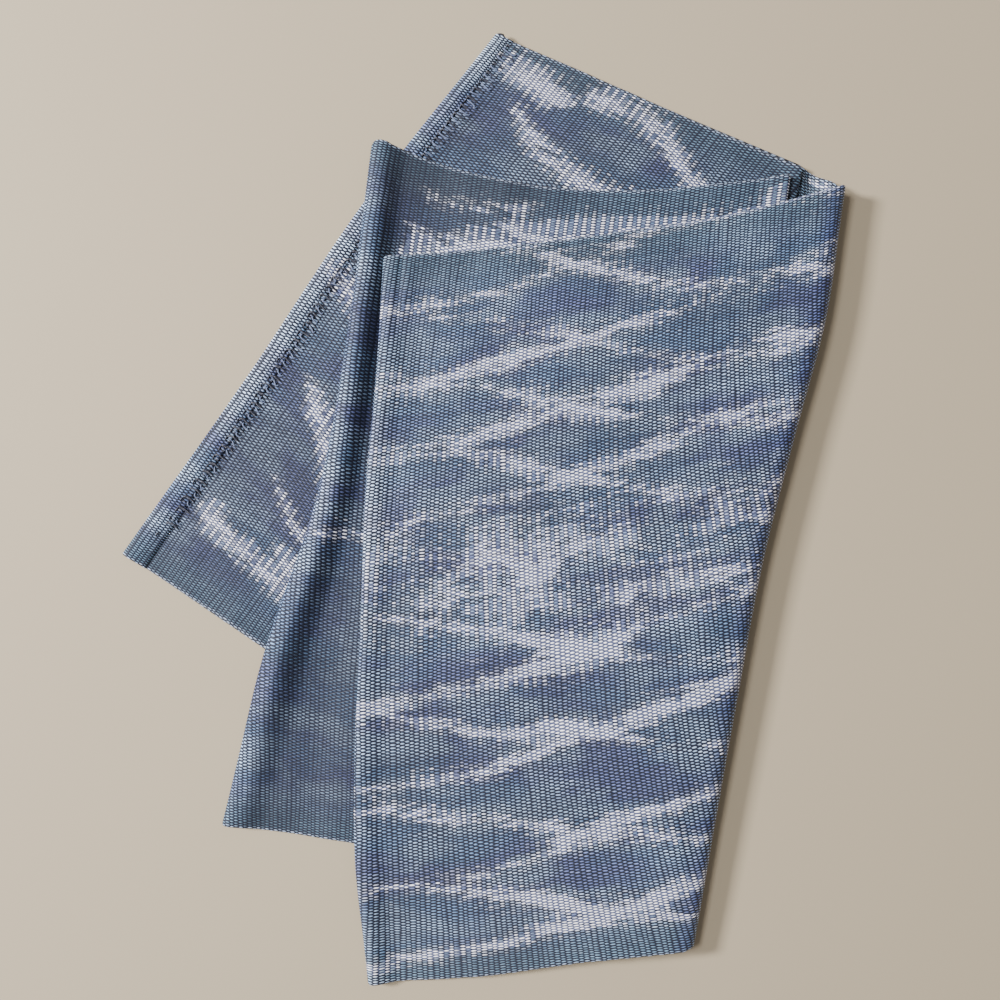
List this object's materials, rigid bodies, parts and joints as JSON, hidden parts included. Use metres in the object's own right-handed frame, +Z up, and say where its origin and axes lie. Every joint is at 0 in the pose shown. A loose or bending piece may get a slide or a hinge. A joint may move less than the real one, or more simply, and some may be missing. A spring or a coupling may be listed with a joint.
{
  "type": "infinity scarf",
  "caption": "Handwoven infinity scarf in blue-grey with pale resist-dyed streaks, laid flat and folded like a fan into staggered stretches.",
  "frame": {"origin": "middle of the footprint of the folded scarf, on the surface it lies on", "axes": "+Z up from the surface, +Y towards the top selvedges of the stretches, +X towards the lifted fold at the right"},
  "size_m": [0.3556, 0.4712, 0.0177],
  "materials": {
    "woven_cloth": "warp-faced plain weave with a soft sheen, steel blue with lavender-white resist-dyed streaks",
    "join_cloth": "the same cloth where the ends are lapped and overlocked, with dark navy thread",
    "inner_cloth": "the same cloth, edges of the hidden layers"
  },
  "bodies": {
    "root": {"back_stretch": "woven_cloth", "join_lap": "join_cloth", "middle_stretch": "woven_cloth", "front_stretch": "woven_cloth", "hidden_layers": "inner_cloth"}
  },
  "joints": []
}
